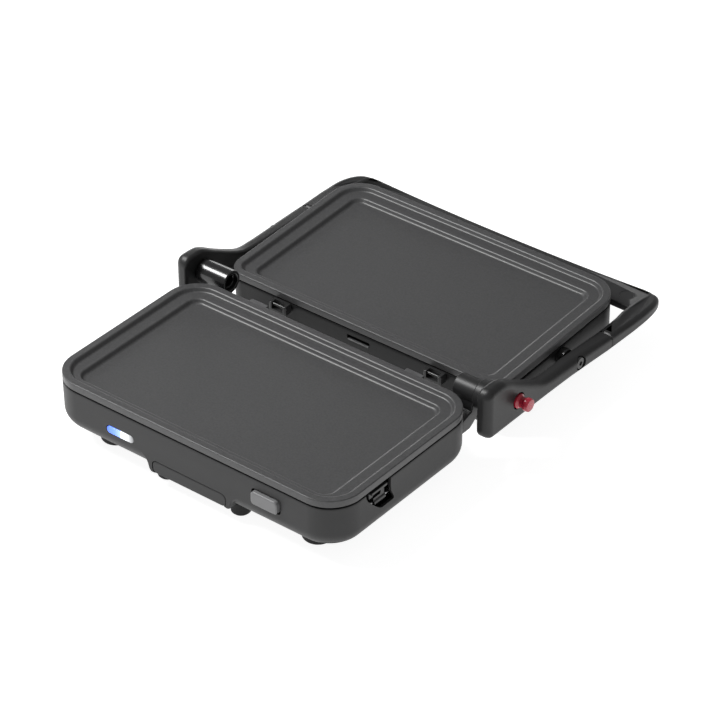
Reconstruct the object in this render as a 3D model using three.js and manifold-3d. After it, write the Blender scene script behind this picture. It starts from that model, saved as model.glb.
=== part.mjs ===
// Contact grill (panini press) shown opened flat: a base and a lid, each with a
// removable griddle plate, joined by a pair of hinged arms with a U-shaped grip.
// Units are millimetres, +Z up, +X to the right along the front, +Y to the back.
// The assembly is drawn in a working frame (z = 0 at the seam between the lower
// plate and the base housing, y = 0 at the front face) and then moved so that
// the origin lies on the resting surface.
import * as THREE from 'three';
import { mergeVertices } from 'three/addons/utils/BufferGeometryUtils.js';
import Module from 'manifold-3d';

// ---------------------------------------------------------------- dimensions
const PLATE_W = 300;            // lower plate and base housing, along X
const PLATE_D = 181.6;          // lower plate and base housing, along Y
const PLATE_R = 30;             // plan corner radius
const RIM_H = 7.5;              // rim top above the seam
const RIM_IN = 9.5;             // inner edge of the raised rim
const LEDGE_IN = 19;            // inner edge of the ledge
const WELL_IN = 24;             // edge of the well floor
const LEDGE_Z = 4;              // ledge height above the seam
const WELL_Z = 0.4;             // well floor height above the seam
const NEAR_SHIFT = 6.8;         // the ledge is this much narrower along the near side
const HOUSING_H = 42;           // housing depth below the seam
const HOUSING_R = 16;           // housing lower edge radius
const WALL = 2.6;               // housing wall
const FLOOR_Z = -56.5;          // resting surface below the seam
const FOOT_R = 13;
const FOOT_X = 106, FOOT_Y1 = 32, FOOT_Y2 = 149;
const LID_SCALE = 0.968;        // lid plan size against the base
const LID_TILT = 0.044;         // lid tilt when opened flat, radians
const LID_Y = 306, LID_Z = -5.4; // lid seam centre when opened flat
const LID_H = 44;               // lid housing depth
const LID_RN = 17;              // near corners of the lid in plan
const AXIS_Y = 196.5, AXIS_Z = 4.5; // main hinge axis
const PIVOT_Y = 303, PIVOT_Z = -14; // lid pivot axis on the arms
const ARM_OUT = 165, ARM_IN = 152.5; // arm faces, from the middle
const SEAM_Y = 345.5;           // seam between arm and grip
const BARREL_R = 10.5, BARREL_BORE = 7.5;
const SLEEVE_R = 7.2, SLEEVE_BORE = 5.2;
const Y_MID = 212.55;           // middle of the footprint in the working frame
const X_MID = 4;                // the release knob makes the right side 8 mm wider

// ------------------------------------------------------------------ materials
const mat = (c, r, m = 0) => new THREE.MeshStandardMaterial({ color: c, roughness: r, metalness: m });
const M = {
  housing: mat(0x2b2b2c, 0.48), arm: mat(0x242425, 0.4), plate: mat(0x47484a, 0.55, 0.3),
  steel: mat(0xa9abad, 0.35, 1), pan: mat(0xb9bbbd, 0.4, 1), rubber: mat(0x151516, 0.85),
  button: mat(0x6d6d6f, 0.5), red: mat(0xa3132c, 0.4), blue: mat(0x3a66ff, 0.2), clear: mat(0xf2f5ff, 0.2),
  black: mat(0x101011, 0.3), board: mat(0x1d5a34, 0.6), ceramic: mat(0xe6e0d2, 0.7),
};

// ------------------------------------------------------------------- helpers
const wasm = await Module();
wasm.setup();
function solid(geo) {
  let g = geo.index ? geo.toNonIndexed() : geo.clone();
  g.deleteAttribute('normal'); g.deleteAttribute('uv');
  g = mergeVertices(g, 1e-4);
  return new wasm.Manifold(new wasm.Mesh({
    numProp: 3,
    vertProperties: new Float32Array(g.attributes.position.array),
    triVerts: new Uint32Array(g.index.array),
  }));
}
function geometry(man) {
  const m = man.getMesh();
  const g = new THREE.BufferGeometry();
  const p = new Float32Array(m.numVert * 3);
  for (let i = 0; i < m.numVert; i++) for (let k = 0; k < 3; k++) p[3 * i + k] = m.vertProperties[i * m.numProp + k];
  g.setAttribute('position', new THREE.BufferAttribute(p, 3));
  g.setIndex(new THREE.BufferAttribute(new Uint32Array(m.triVerts), 1));
  g.computeVertexNormals();
  return g;
}
// rounded rectangle in plan, centred on cx, cy; rn is the radius of its two near corners
function rrect(w, d, r, cx = 0, cy = 0, rn = r) {
  const x = w / 2, y = d / 2, s = new THREE.Shape();
  s.moveTo(cx + x, cy - y + rn);
  s.lineTo(cx + x, cy + y - r); s.absarc(cx + x - r, cy + y - r, r, 0, Math.PI / 2);
  s.lineTo(cx - x + r, cy + y); s.absarc(cx - x + r, cy + y - r, r, Math.PI / 2, Math.PI);
  s.lineTo(cx - x, cy - y + rn); s.absarc(cx - x + rn, cy - y + rn, rn, Math.PI, 1.5 * Math.PI);
  s.lineTo(cx + x - rn, cy - y); s.absarc(cx + x - rn, cy - y + rn, rn, 1.5 * Math.PI, 2 * Math.PI);
  s.closePath();
  return s;
}
function poly(points) {
  const s = new THREE.Shape();
  points.forEach(([a, b], i) => (i ? s.lineTo(a, b) : s.moveTo(a, b)));
  s.closePath();
  return s;
}
// prism of a plan (XY) shape between two heights
const prism = (shape, z0, z1, seg = 5) =>
  solid(new THREE.ExtrudeGeometry(shape, { depth: z1 - z0, bevelEnabled: false, curveSegments: seg }).translate(0, 0, z0));
// prism of a side (YZ) outline between two x values
function sidePrism(shape, x0, x1, seg = 5) {
  const g = new THREE.ExtrudeGeometry(shape, { depth: x1 - x0, bevelEnabled: false, curveSegments: seg });
  g.applyMatrix4(new THREE.Matrix4().set(0, 0, 1, x0, 1, 0, 0, 0, 0, 1, 0, 0, 0, 0, 0, 1));
  return solid(g);
}
// prism of a front (XZ) outline between two y values
function frontPrism(shape, y0, y1, seg = 5) {
  const g = new THREE.ExtrudeGeometry(shape, { depth: y1 - y0, bevelEnabled: false, curveSegments: seg });
  g.applyMatrix4(new THREE.Matrix4().set(1, 0, 0, 0, 0, 0, -1, y1, 0, 1, 0, 0, 0, 0, 0, 1));
  return solid(g);
}
const box = (x0, x1, y0, y1, z0, z1) =>
  solid(new THREE.BoxGeometry(x1 - x0, y1 - y0, z1 - z0).translate((x0 + x1) / 2, (y0 + y1) / 2, (z0 + z1) / 2));
// round piece turned from a closed profile of [radius, height], set along Z, X or Y
function turned(profile, axis, at, seg = 20) {
  const g = new THREE.LatheGeometry(profile.map(([r, h]) => new THREE.Vector2(r, h)), seg);
  if (axis === 'z') g.rotateX(Math.PI / 2);
  if (axis === 'x') g.rotateZ(-Math.PI / 2);
  g.translate(...at);
  return solid(g);
}
const rod = (r, h0, h1, axis, at, seg = 20) => turned([[0, h0], [r, h0], [r, h1], [0, h1]], axis, at, seg);
const ring = (r0, r1, h0, h1, axis, at, seg = 24) =>
  turned([[r0, h0], [r1, h0], [r1, h1], [r0, h1], [r0, h0]], axis, at, seg);
const mirrored = (man) => man.mirror([1, 0, 0]);

const press = new THREE.Group();
press.position.set(-X_MID, -Y_MID, -FLOOR_Z);
const lid = new THREE.Group();               // lid frame: origin at its seam centre
lid.position.set(0, LID_Y, LID_Z);
lid.rotation.x = LID_TILT;
press.add(lid);
function put(group, name, man, material) {
  const mesh = new THREE.Mesh(geometry(man), material);
  mesh.name = name;
  group.add(mesh);
}

// --------------------------------------------------------- shared sub-shapes
// Outer body of a housing: upright wall with a rounded lower edge, centred in plan.
function tub(w, d, r, depth, edge, top, seg = 3, rn = r) {
  const g = new THREE.ExtrudeGeometry(rrect(w - 2 * edge, d - 2 * edge, r - edge, 0, 0, rn - edge), {
    depth: 2 * edge, bevelEnabled: true, bevelSize: edge, bevelThickness: edge, bevelSegments: seg, curveSegments: 4,
  });
  // the extrusion runs from -edge to 3*edge; only its lower half is kept
  g.translate(0, 0, -depth + edge);
  const full = solid(g);
  const keep = solid(new THREE.BoxGeometry(w + 20, d + 20, depth + top + 10).translate(0, 0, (-depth + top - 10) / 2));
  return full.intersect(keep);
}
// Griddle plate: raised rim, ledge and shallow well, with a skirt that drops into the housing.
function griddle(w, d, k, rn = PLATE_R) {
  const r = PLATE_R * k, seg = 3;
  const body = prism(rrect(w, d, r, 0, 0, rn), 0.6, RIM_H - 1.5, seg);
  const lip = prism(rrect(w - 3, d - 3, r - 1.5, 0, 0, rn - 1.5), RIM_H - 1.9, RIM_H, seg);
  const skirt = prism(rrect(w - 26, d - 26, r - 13, 0, 0, Math.max(rn - 13, 5)), -4.6, 0.9, seg);
  let p = body.add(lip).add(skirt);
  p = p.subtract(prism(rrect(w - 2 * RIM_IN, d - 2 * RIM_IN, r - RIM_IN, 0, 0, Math.max(rn - RIM_IN, 8)), LEDGE_Z, RIM_H + 1, seg));
  const mid = LEDGE_IN + WELL_IN;
  p = p.subtract(prism(rrect(w - mid, d - mid + NEAR_SHIFT, 11, 0, -NEAR_SHIFT / 2), WELL_Z, RIM_H + 1, seg));
  // channel for the tubular heater in the underside
  return p.subtract(prism(rrect(w - 60, d - 50, 20), -6, -2.6, seg));
}
// Tubular heater bent into a long loop with both ends turned to the terminal side.
function heater(half, near, far, z) {
  const c = new THREE.CurvePath(), v = (x, y) => new THREE.Vector3(x, y, z), r = 22;
  const corner = (x, y, ux, uy, vx, vy) =>
    new THREE.QuadraticBezierCurve3(v(x - ux * r, y - uy * r), v(x, y), v(x + vx * r, y + vy * r));
  c.add(new THREE.LineCurve3(v(-24, near), v(-half + r, near)));
  c.add(corner(-half, near, -1, 0, 0, 1));
  c.add(new THREE.LineCurve3(v(-half, near + r), v(-half, far - r)));
  c.add(corner(-half, far, 0, 1, 1, 0));
  c.add(new THREE.LineCurve3(v(-half + r, far), v(half - r, far)));
  c.add(corner(half, far, 1, 0, 0, -1));
  c.add(new THREE.LineCurve3(v(half, far - r), v(half, near + r)));
  c.add(corner(half, near, 0, -1, -1, 0));
  c.add(new THREE.LineCurve3(v(half - r, near), v(24, near)));
  const s = new THREE.Shape(); s.absarc(0, 0, 3.3, 0, 2 * Math.PI);
  return solid(new THREE.ExtrudeGeometry(s, { steps: 44, extrudePath: c, bevelEnabled: false, curveSegments: 4 }));
}
const pan = (w, d, z0, z1) =>
  prism(rrect(w, d, 14), z0, z1, 3).subtract(prism(rrect(w - 1.8, d - 1.8, 13.1), z0 + 0.9, z1 + 1, 3));
const screw = (r, len, at, axis, dir) => {
  const s = dir;
  const prof = s > 0 ? [[0, 0], [r * 2, 0], [r * 2, 1.6], [r, 1.6], [r, len], [0, len]]
    : [[0, -len], [r, -len], [r, -1.6], [r * 2, -1.6], [r * 2, 0], [0, 0]];
  return turned(prof, axis, at, 12);
};

// ------------------------------------------------------------------------ base
const BC = PLATE_D / 2;                       // base centre along y
const atBase = (man) => man.translate([0, BC, 0]);
let shell = atBase(tub(PLATE_W, PLATE_D, PLATE_R, HOUSING_H, HOUSING_R, -0.4));
// nose around the drip tray, flush with the front face, running back under the floor
const nose = new THREE.Shape();
nose.moveTo(-53, -18); nose.lineTo(53, -18); nose.lineTo(53, -27); nose.quadraticCurveTo(43.5, -30, 42.6, -38);
nose.lineTo(42.6, -42.5); nose.lineTo(-42.6, -42.5); nose.lineTo(-42.6, -38); nose.quadraticCurveTo(-43.5, -30, -53, -27); nose.closePath();
shell = shell.add(frontPrism(nose, 0.01, 131));
const hollow = atBase(tub(PLATE_W - 2 * WALL, PLATE_D - 2 * WALL, PLATE_R - WALL, HOUSING_H - WALL, HOUSING_R - WALL, 5));
shell = shell.subtract(hollow);
// pocket in the right side for the storage latch
shell = shell.add(box(138.4, 148.6, 35, 74.5, -24, -0.4)).subtract(box(141, 152, 37.5, 72, -21.5, 2));
// drip-tray bay
shell = shell.subtract(box(-38.7, 38.7, -2, 126.5, -40.9, -30.1));
shell = shell.subtract(box(-38.7, 38.7, -2, 4.8, -42.8, -30.1));
// light window, release-button opening, cord inlet and hinge-bracket slots
const slot = (x0, x1, z0, z1, r) => frontPrism(rrect(x1 - x0, z1 - z0, r, (x0 + x1) / 2, (z0 + z1) / 2), -2, 8, 3);
shell = shell.subtract(slot(-86.3, -57.2, -24.1, -16.7, 3.5));
shell = shell.subtract(slot(65.9, 94.1, -23, -9.6, 3));
shell = shell.subtract(rod(6.5, -8, 8, 'y', [-60, PLATE_D, -22], 16));
// access opening in the underside
shell = shell.subtract(prism(rrect(60, 80, 8, -80, BC), -46, -38, 2));
shell = shell.subtract(prism(rrect(60, 80, 8, 80, BC), -46, -38, 2));
put(press, 'base_shell', shell, M.housing);
for (const [tag, s] of [['left', -1], ['right', 1]]) {
  let cover = prism(rrect(59.4, 79.4, 7.7, s * 80, BC), -41.9, -39.8, 2);
  cover = cover.add(prism(rrect(66, 86, 9, s * 80, BC), -39.1, -37.3, 2)).add(prism(rrect(58, 78, 7, s * 80, BC), -40.5, -38, 2));
  for (const y of [BC - 14, BC, BC + 14]) cover = cover.subtract(box(s * 80 - 14, s * 80 + 14, y - 1.5, y + 1.5, -44, -36));
  for (const y of [BC - 33, BC + 33]) cover = cover.subtract(rod(1.9, -46, -32, 'z', [s * 80, y, 0], 12));
  put(press, `base_bottom_cover_${tag}`, cover, M.housing);
  [BC - 33, BC + 33].forEach((y, i) => {
    put(press, `cover_screw_${tag}_${i + 1}`, screw(1.5, 7.5, [s * 80, y, -43.8], 'z', 1), M.steel);
  });
}
put(press, 'lower_grill_plate', atBase(griddle(PLATE_W, PLATE_D, 1)), M.plate);
put(press, 'lower_heating_element', heater(104, 38, 146, -6.6), M.steel);
put(press, 'lower_reflector', pan(268, 150, -14, -5.2).translate([0, BC, 0])
  .subtract(rod(4.5, -20, 0, 'z', [-24, 38, 0], 12)), M.pan);
put(press, 'lower_thermostat', turned([[0, -24], [7, -24], [7, -19.5], [9, -19.5], [9, -14.4], [0, -14.4]], 'z', [40, 96, 0], 16), M.ceramic);
put(press, 'thermal_fuse', rod(2.4, -17, 17, 'x', [-30, 96, -17.2], 10), M.steel);
put(press, 'terminal_block', box(-78, -46, 150, 164, -33, -21)
  .subtract(box(-74, -64, 148, 166, -30, -24)).subtract(box(-60, -50, 148, 166, -30, -24)), M.ceramic);
put(press, 'cord_inlet_gland', turned([[2.9, -5.5], [6.1, -5.5], [6.1, 0.6], [9, 0.6], [9, 3], [7.6, 4.4], [2.9, 4.4], [2.9, -5.5]], 'y', [-60, PLATE_D, -22], 16), M.rubber);
put(press, 'tray_guide', box(-41.4, 41.4, 17, 131.5, -39.0, -25.8)
  .subtract(box(-39, 39, 10, 130, -40, -27.4)), M.housing);
// indicator board and its two-part window
put(press, 'indicator_board', box(-92, -52, 7.6, 9.2, -29, -13), M.board);
const lensL = slot(-85.9, -72.0, -23.7, -17.1, 3.2).add(box(-76, -72.0, -2, 8, -23.7, -17.1));
const lensR = slot(-71.6, -57.6, -23.7, -17.1, 3.2).add(box(-71.6, -67.6, -2, 8, -23.7, -17.1));
const lensClip = box(-90, -54, -0.2, 6.6, -30, -12);
put(press, 'power_light_lens', lensL.intersect(lensClip), M.blue);
put(press, 'ready_light_lens', lensR.intersect(lensClip), M.clear);
// plate release button, with the hook that holds the plate's front lug
put(press, 'lower_plate_release_button',
  frontPrism(rrect(26.6, 12, 3, 80, -16.3), -3.4, 7, 3).add(box(64.5, 95.5, 4.6, 7, -21.8, -10.8)).add(box(74, 86, 6.8, 9.4, -14.5, -5.6)), M.button);
// drip tray: front with a finger scoop, and an open pan behind it
let tray = frontPrism(rrect(76.4, 12, 4.6, 0, -36.4), 0.3, 3.4, 4).add(box(-37.4, 37.4, 3, 4.6, -40.5, -31)).add(box(-37.4, 37.4, 4, 124, -40.5, -31));
tray = tray.subtract(box(-35.9, 35.9, 4.8, 122.5, -39, -20));
put(press, 'drip_tray', tray, M.housing);
// short feet under both sides of the tray opening
for (const [tag, s] of [['left', -1], ['right', 1]]) {
  put(press, `foot_tray_${tag}`, turned([[0, -56.1], [7.6, -56.1], [8.8, -54], [8.8, -42.9], [0, -42.9]], 'z', [s * 38.5, 18.5, 0], 16), M.rubber);
}
// storage latch in the side pocket, and its pin
let latch = box(142.6, 146.2, 45, 65, -17.5, -3).add(rod(3.2, -10, 10, 'y', [144.4, 55, -17.2], 14));
latch = latch.add(box(144, 149.6, 45, 65, -5.6, -3)).subtract(rod(1.75, -12, 12, 'y', [144.4, 55, -17.2], 14));
latch = latch.subtract(box(140, 152, 50, 60, -12.5, -6));
put(press, 'storage_latch', latch, M.black);
put(press, 'storage_latch_pin', rod(1.4, -17, 17, 'y', [144.4, 54.75, -17.2], 12), M.steel);
// rear catches that hold the lower plate
for (const [tag, s] of [['left', -1], ['right', 1]]) {
  put(press, `lower_plate_catch_${tag}`, box(-9, 9, 182, 188.6, -3, 4.4).subtract(box(-6, 6, 184.5, 190, -1.2, 6)).translate([s * 82, 0, 0]), M.black);
}
// hinge brackets: a barrel on a web that bolts to the back of the housing
for (const [tag, s] of [['left', -1], ['right', 1]]) {
  const web = new THREE.Shape();
  web.moveTo(174, -24); web.lineTo(184, -24); web.quadraticCurveTo(196, -18, 204.5, AXIS_Z - 3);
  web.lineTo(AXIS_Y - 9, AXIS_Z - 3); web.lineTo(186, -8); web.lineTo(174, -12); web.closePath();
  let b = ring(BARREL_BORE, BARREL_R, 120, s < 0 ? 151.6 : 140.8, 'x', [0, AXIS_Y, AXIS_Z], 28);
  b = b.add(sidePrism(web, 122, 140.6, 4).subtract(rod(BARREL_BORE + 0.5, 118, 152, 'x', [0, AXIS_Y, AXIS_Z], 28)));
  // keep the web outside the housing, whose back corner is rounded here
  const keep = atBase(prism(rrect(PLATE_W + 0.8, PLATE_D + 0.8, PLATE_R + 0.4), -60, 20, 8));
  b = b.subtract(keep);
  if (s < 0) b = mirrored(b);
  put(press, `hinge_bracket_${tag}`, b, M.black);
}
// feet
[['front_left', -FOOT_X, FOOT_Y1], ['front_right', FOOT_X, FOOT_Y1], ['rear_left', -FOOT_X, FOOT_Y2], ['rear_right', FOOT_X, FOOT_Y2]].forEach(([tag, x, y]) =>
  put(press, `foot_${tag}`, turned([[0, FLOOR_Z], [FOOT_R - 1.5, FLOOR_Z], [FOOT_R, FLOOR_Z + 1.5], [FOOT_R + 0.6, -42.3], [0, -42.3]], 'z', [x, y, 0], 18), M.rubber));

// ------------------------------------------------------------------------ arms
const armSide = new THREE.Shape();
armSide.moveTo(175, -14); armSide.absarc(183.5, -14, 8.5, Math.PI, 1.5 * Math.PI);
armSide.lineTo(SEAM_Y, -21.5); armSide.lineTo(SEAM_Y, -9); armSide.lineTo(303, -7); armSide.lineTo(262, -6);
armSide.quadraticCurveTo(251, -5.6, 240, 0.2); armSide.lineTo(217, 12.7); armSide.lineTo(204, 20.4);
armSide.quadraticCurveTo(198, 24, 190, 24); armSide.lineTo(184, 24); armSide.absarc(184, 15, 9, Math.PI / 2, Math.PI); armSide.closePath();
const armPlan = new THREE.Shape();
armPlan.moveTo(155, 175); armPlan.lineTo(158, 175); armPlan.absarc(158, 182, 7, -Math.PI / 2, 0);
armPlan.lineTo(ARM_OUT, 240); armPlan.lineTo(166, 303); armPlan.lineTo(167.5, SEAM_Y); armPlan.lineTo(152, SEAM_Y);
armPlan.lineTo(152.2, 280); armPlan.lineTo(ARM_IN, 240); armPlan.lineTo(ARM_IN, 177.5); armPlan.closePath();
function arm(right) {
  let a = sidePrism(armSide, 138, 170, 5).intersect(prism(armPlan, -40, 40, 5));
  if (right) a = a.add(rod(12.3, 141.2, 154, 'x', [0, AXIS_Y, AXIS_Z], 28));     // collar against the barrel
  a = a.subtract(rod(SLEEVE_R + 0.3, 138, 161.5, 'x', [0, AXIS_Y, AXIS_Z], 24)); // blind bore for the sleeve
  a = a.subtract(rod(3.8, 140, 172, 'x', [0, PIVOT_Y, PIVOT_Z], 16)).subtract(rod(5.2, 162.4, 172, 'x', [0, PIVOT_Y, PIVOT_Z], 16));
  a = a.add(box(155.5, 163.5, SEAM_Y - 2, SEAM_Y + 14, -19, -11.5));             // tongue that enters the grip
  a = a.subtract(rod(1.9, 150, 160.5, 'x', [0, SEAM_Y + 8, -15.25], 12));
  if (right) a = a.subtract(rod(7.6, 161.2, 170, 'x', [0, 216.5, -3.5], 20)).subtract(rod(4.6, 154.6, 170, 'x', [0, 216.5, -3.5], 16));
  return right ? a : mirrored(a);
}
put(press, 'left_arm', arm(false), M.arm);
put(press, 'right_arm', arm(true), M.arm);
for (const [tag, s] of [['left', -1], ['right', 1]]) {
  const flip = (m) => (s < 0 ? mirrored(m) : m);
  put(press, `hinge_sleeve_${tag}`, flip(ring(SLEEVE_BORE, SLEEVE_R, 123, 161, 'x', [0, AXIS_Y, AXIS_Z], 24)), M.steel);
  put(press, `lid_pivot_pin_${tag}`, flip(turned([[0, 134], [3.5, 134], [3.5, 162.8], [4.8, 162.8], [4.8, 165.4], [0, 165.4]], 'x', [0, PIVOT_Y, PIVOT_Z], 16)), M.steel);
  put(press, `grip_screw_${tag}`, flip(turned([[0, 152.5], [3, 152.5], [3, 153.8], [1.5, 153.8], [1.5, 160.1], [0, 160.1]], 'x', [0, SEAM_Y + 8, -15.25], 12)), M.steel);
}
// red release knob: spool-shaped push button in the right arm
put(press, 'hinge_release_button', turned([[0, 158], [4.2, 158], [4.2, 164.5], [6.3, 164.5], [6.3, 168], [4.4, 169], [4.4, 173], [5.6, 173.8], [5.6, 178], [0, 178]], 'x', [0, 216.5, -3.5], 20), M.red);
// U-shaped grip
const gripOut = new THREE.Shape(), G = SEAM_Y + 0.4;
gripOut.moveTo(-167.5, G); gripOut.lineTo(-152, G); gripOut.lineTo(-152, 387); gripOut.quadraticCurveTo(-152, 397, -142, 397);
gripOut.quadraticCurveTo(0, 400, 142, 397); gripOut.quadraticCurveTo(152, 397, 152, 387); gripOut.lineTo(152, G);
gripOut.lineTo(167.5, G); gripOut.lineTo(170, 385);
gripOut.bezierCurveTo(170, 407, 163, 428.5, 138, 428.5); gripOut.quadraticCurveTo(0, 420.5, -138, 428.5);
gripOut.bezierCurveTo(-163, 428.5, -170, 407, -170, 385); gripOut.closePath();
let grip = prism(gripOut, -24, -6, 8);
// the legs are as deep as the arms and thin out into the flat band across the end
grip = grip.intersect(sidePrism(poly([[340, -8.8], [380, -11], [396, -13], [432, -13], [432, -19], [397, -19], [384, -21], [340, -21.5]]), -175, 175));
for (const s of [-1, 1]) {
  const pocket = box(155.1, 163.9, SEAM_Y - 1, SEAM_Y + 14.4, -19.4, -11.1).add(rod(3.3, 150, 154.1, 'x', [0, SEAM_Y + 8, -15.25], 12)).add(rod(1.9, 150, 156, 'x', [0, SEAM_Y + 8, -15.25], 12));
  grip = grip.subtract(s < 0 ? mirrored(pocket) : pocket);
}
put(press, 'handle_grip', grip, M.arm);

// ------------------------------------------------------------------------- lid
const LW = PLATE_W * LID_SCALE, LD = PLATE_D * LID_SCALE, LR = PLATE_R * LID_SCALE;
const cp = Math.cos(LID_TILT), sp = Math.sin(LID_TILT);
const pv = (PIVOT_Y - LID_Y) * cp + (PIVOT_Z - LID_Z) * sp;   // pivot in the lid frame
const pw = -(PIVOT_Y - LID_Y) * sp + (PIVOT_Z - LID_Z) * cp;
let lidShell = tub(LW, LD, LR, LID_H, HOUSING_R, -0.4, 3, LID_RN)
  .subtract(tub(LW - 2 * WALL, LD - 2 * WALL, LR - WALL, LID_H - WALL, HOUSING_R - WALL, 5, 3, LID_RN - WALL));
for (const s of [-1, 1]) {
  const boss = ring(3.8, 8, 133, LW / 2 - 1, 'x', [0, pv, pw], 20);
  lidShell = lidShell.subtract(s < 0 ? mirrored(rod(3.8, 120, 160, 'x', [0, pv, pw], 20)) : rod(3.8, 120, 160, 'x', [0, pv, pw], 20));
  lidShell = lidShell.add(s < 0 ? mirrored(boss) : boss);
}
const lslot = frontPrism(rrect(28.2, 13.4, 3, 80, -16.3), LD / 2 - 8, LD / 2 + 2, 3);
lidShell = lidShell.subtract(lslot);
lidShell = lidShell.subtract(prism(rrect(196, 100, 14), -48, -40, 3));
put(lid, 'lid_shell', lidShell, M.housing);
let lidCover = prism(rrect(195.4, 99.4, 13.7), -43.9, -42, 3).add(prism(rrect(202, 106, 15), -41.1, -39.4, 3)).add(prism(rrect(194, 98, 13), -42.6, -40.5, 3));
for (const x of [-88, 88]) lidCover = lidCover.subtract(rod(1.9, -48, -34, 'z', [x, 0, 0], 12));
put(lid, 'lid_cover', lidCover, M.housing);
[-88, 88].forEach((x, i) => put(lid, `lid_cover_screw_${i + 1}`, screw(1.5, 7.5, [x, 0, -45.8], 'z', 1), M.steel));
put(lid, 'upper_grill_plate', griddle(LW, LD, LID_SCALE, LID_RN), M.plate);
put(lid, 'upper_heating_element', heater(100, -52, 52, -6.6), M.steel);
put(lid, 'upper_reflector', pan(244, 138, -13, -5.2), M.pan);
put(lid, 'upper_thermostat', turned([[0, -23], [7, -23], [7, -18.5], [9, -18.5], [9, -13.4], [0, -13.4]], 'z', [40, 0, 0], 16), M.ceramic);
put(lid, 'upper_plate_release_button',
  frontPrism(rrect(26.6, 12, 3, 80, -16.3), LD / 2 - 7, LD / 2 + 1.6, 3).add(box(64.5, 95.5, LD / 2 - 7, LD / 2 - 4.6, -21.8, -10.8)), M.button);
for (const [tag, s] of [['left', -1], ['right', 1]]) {
  put(lid, `upper_plate_catch_${tag}`, box(-9, 9, -LD / 2 - 8.6, -LD / 2 - 0.3, -8.5, 0.4).subtract(box(-6, 6, -LD / 2 - 10, -LD / 2 - 3, -6.7, 2)).translate([s * 82, 0, 0]), M.black);
  const spacer = ring(3.8, 7.5, LW / 2 + 0.4, 151.6, 'x', [0, pv, pw], 20);
  put(lid, `lid_pivot_spacer_${tag}`, s < 0 ? mirrored(spacer) : spacer, M.black);
  put(lid, `lid_pad_near_${tag}`, turned([[0, -48.1], [8, -48.1], [9, -44.3], [0, -44.3]], 'z', [s * 112, -60, 0], 14), M.rubber);
  put(lid, `lid_pad_far_${tag}`, turned([[0, -53.3], [7, -53.3], [9, -44.3], [0, -44.3]], 'z', [s * 112, 60, 0], 14), M.rubber);
}

export default press;
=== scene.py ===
import bpy, bmesh, math
import numpy as np
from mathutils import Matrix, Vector


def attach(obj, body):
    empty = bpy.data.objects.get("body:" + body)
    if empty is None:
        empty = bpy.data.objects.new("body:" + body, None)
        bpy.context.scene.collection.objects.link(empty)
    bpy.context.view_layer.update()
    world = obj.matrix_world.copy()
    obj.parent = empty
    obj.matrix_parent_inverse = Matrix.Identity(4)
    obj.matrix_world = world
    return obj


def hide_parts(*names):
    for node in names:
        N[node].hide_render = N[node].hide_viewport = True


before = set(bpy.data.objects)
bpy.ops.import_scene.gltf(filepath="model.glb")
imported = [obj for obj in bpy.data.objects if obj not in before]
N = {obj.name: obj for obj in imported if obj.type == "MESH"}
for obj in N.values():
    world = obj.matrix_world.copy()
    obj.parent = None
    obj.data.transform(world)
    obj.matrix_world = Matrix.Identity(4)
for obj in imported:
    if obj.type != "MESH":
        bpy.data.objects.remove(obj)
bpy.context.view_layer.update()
scene = bpy.context.scene

# ------------------------------------------------------------------ frames
# Shapes are written in millimetres in a working frame: z = 0 at the seam between the
# lower plate and its housing, y = 0 at the front face, x = 0 in the middle.
OX, OY, OZ = 4.0, 212.55, 56.5
TILT = 0.044
CT, ST = math.cos(TILT), math.sin(TILT)


def W(p):
    return ((p[0] - OX) / 1000, (p[1] - OY) / 1000, (p[2] + OZ) / 1000)


def L(p):
    return W((p[0], 306 + p[1] * CT - p[2] * ST, -5.4 + p[1] * ST + p[2] * CT))


# --------------------------------------------------------------- materials
def new_mat(name):
    m = bpy.data.materials.new(name)
    m.use_nodes = True
    nt = m.node_tree
    return m, nt, nt.nodes["Principled BSDF"]


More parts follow.
